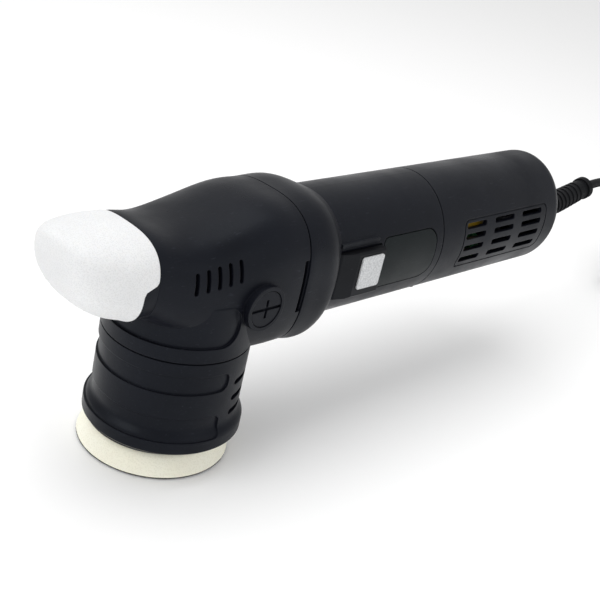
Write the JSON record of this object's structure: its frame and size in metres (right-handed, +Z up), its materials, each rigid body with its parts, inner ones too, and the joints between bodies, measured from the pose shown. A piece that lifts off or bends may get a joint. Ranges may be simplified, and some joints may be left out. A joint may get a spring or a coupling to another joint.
{
  "type": "dual action polisher",
  "caption": "Compact corded dual action polisher with a right-angle head, soft front bumper, slide switch and round hook-faced backing pad for polishing paintwork.",
  "frame": {"origin": "on the drive spindle's axis, in the plane of the pad's hook face", "axes": "+Z up the spindle away from the work, +X back along the handle to the cord, the switch faces -Y"},
  "size_m": [0.6245, 0.1259, 0.1315],
  "materials": {
    "casing_plastic": "satin, fine moulded grain",
    "panel_plastic": "satin, slightly greener than the casing",
    "bump_rubber": "soft matt, fine grained",
    "switch_grey": "fine pebbled",
    "switch_black": "satin",
    "pad_foam": "dense moulded foam, closed pores",
    "hook_fabric": "hook fabric",
    "plate_plastic": "glass-filled, satin",
    "steel": "turned and ground",
    "black_steel": "black oxide",
    "cast_alloy": "die cast, machined faces",
    "laminations": "stacked sheets",
    "copper": "varnished wire and copper bars",
    "carbon": "pressed carbon",
    "brass": "drawn",
    "fan_plastic": "moulded",
    "brown_plastic": "moulded phenolic",
    "yellow_plastic": "moulded box",
    "board": "glass laminate with lacquer",
    "cord_rubber": "matt extruded",
    "plug_plastic": "moulded",
    "plug_metal": "nickel plated"
  },
  "bodies": {
    "case": {"head_cover": "casing_plastic", "front_bump_cap": "bump_rubber", "shroud": "casing_plastic", "bearing_flange": "cast_alloy", "flange_screws": "black_steel", "lower_spindle_bearing": "steel", "upper_spindle_bearing": "steel", "gear_housing": "cast_alloy", "case_screws": "black_steel", "side_plugs": "casing_plastic", "front_motor_bearing": "steel", "air_baffle": "fan_plastic", "stator_core": "laminations", "field_coils": "copper", "stator_screws": "black_steel", "brush_holders": "brass", "brush_carrier": "brown_plastic", "carbon_brushes": "carbon", "brush_springs": "steel", "rear_motor_bearing": "steel", "motor_housing": "casing_plastic", "side_label_panel": "panel_plastic", "rear_cover": "casing_plastic", "rear_cover_screws": "black_steel", "switch_body": "switch_black", "suppression_capacitor": "yellow_plastic", "control_board": "board", "dial_potentiometer": "fan_plastic", "strain_relief": "cord_rubber", "cord_inside": "cord_rubber", "cable_clamp": "fan_plastic", "clamp_screws": "black_steel", "power_cord": "cord_rubber", "power_cord_end": "cord_rubber", "cord_coil": "cord_rubber", "plug_body": "plug_plastic", "plug_pins": "plug_metal"},
    "crank": {"eccentric_hub": "steel", "pad_bearings": "steel", "bearing_retaining_ring": "black_steel", "counterweight": "steel", "counterweight_screws": "black_steel", "spindle": "steel", "bevel_gear": "steel"},
    "pad": {"hook_face": "hook_fabric", "pad_foam": "pad_foam", "backing_plate": "plate_plastic", "pad_stud": "steel", "pad_spindle": "steel", "pad_spindle_ring": "black_steel"},
    "armature": {"bevel_pinion": "steel", "armature_shaft": "steel", "fan": "fan_plastic", "armature_core": "laminations", "armature_windings": "copper", "commutator": "copper"},
    "switch": {"switch_slider": "switch_black", "switch_face": "switch_grey", "switch_link": "switch_black"},
    "dial": {"speed_dial": "switch_black"}
  },
  "joints": [
    {"name": "spindle_spin", "type": "hinge", "parent": "case", "child": "crank", "pos_m": [0, 0, 0], "axis": [0, 0, 1], "continuous": true},
    {"name": "pad_spin", "type": "hinge", "parent": "crank", "child": "pad", "pos_m": [0.0021, 0.0056, 0], "axis": [0, 0, 1], "continuous": true},
    {"name": "armature_spin", "type": "hinge", "parent": "case", "child": "armature", "pos_m": [0, 0, 0.0927], "axis": [1, 0, 0], "continuous": true},
    {"name": "switch_slide", "type": "slide", "parent": "case", "child": "switch", "axis": [-1, 0, 0], "range_m": [0, 0.004]},
    {"name": "dial_turn", "type": "hinge", "parent": "case", "child": "dial", "pos_m": [0.2685, 0, 0.11], "axis": [0, 1, 0], "range_deg": [0, 270]}
  ],
  "couplings": [
    {"joint": "armature_spin", "follows": "spindle_spin", "ratio": 4}
  ]
}
